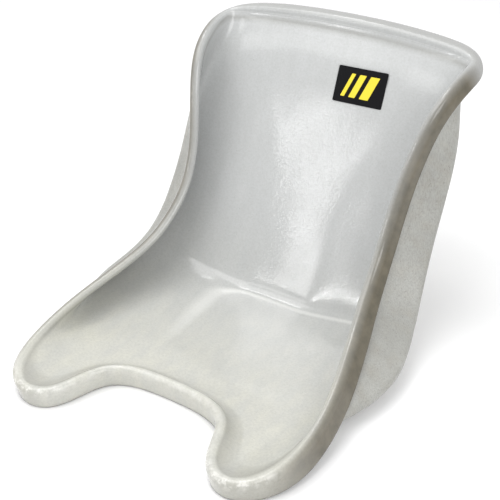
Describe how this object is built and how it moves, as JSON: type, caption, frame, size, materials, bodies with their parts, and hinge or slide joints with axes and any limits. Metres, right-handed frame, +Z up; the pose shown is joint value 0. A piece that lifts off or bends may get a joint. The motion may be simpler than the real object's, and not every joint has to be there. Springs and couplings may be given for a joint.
{
  "type": "kart racing seat",
  "caption": "Moulded glass-fibre bucket seat for a racing kart: rolled rim, two thigh lobes with a leg cut-out, tall side wings and a reclined back.",
  "frame": {"origin": "middle of the seat's bounding box in plan, at the level of the floor patch's underside, which rests on the ground", "axes": "+X to the seated driver's left, +Y to the back of the seat, +Z up; the seat is a mirror image of itself about X = 0 except for the sticker"},
  "size_m": [0.4858, 0.5975, 0.3844],
  "materials": {
    "gelcoat": "semi-gloss, slightly wavy, silver-grey inside and ivory along the rim",
    "glass_laminate": "speckled chopped-strand glass mat in resin, satin",
    "glass_roving": "resin-soaked roving",
    "glass_patch": "extra glass mat in resin",
    "black_film": "printed vinyl film",
    "yellow_print": "screen-printed ink"
  },
  "bodies": {
    "root": {"gelcoat_face": "gelcoat", "laminate_shell": "glass_laminate", "rim_roving_cord": "glass_roving", "floor_patch": "glass_patch", "front_stay_patch_left": "glass_patch", "front_stay_patch_right": "glass_patch", "label_film": "black_film", "label_stripe_1": "yellow_print", "label_stripe_2": "yellow_print", "label_stripe_3": "yellow_print"}
  },
  "joints": []
}
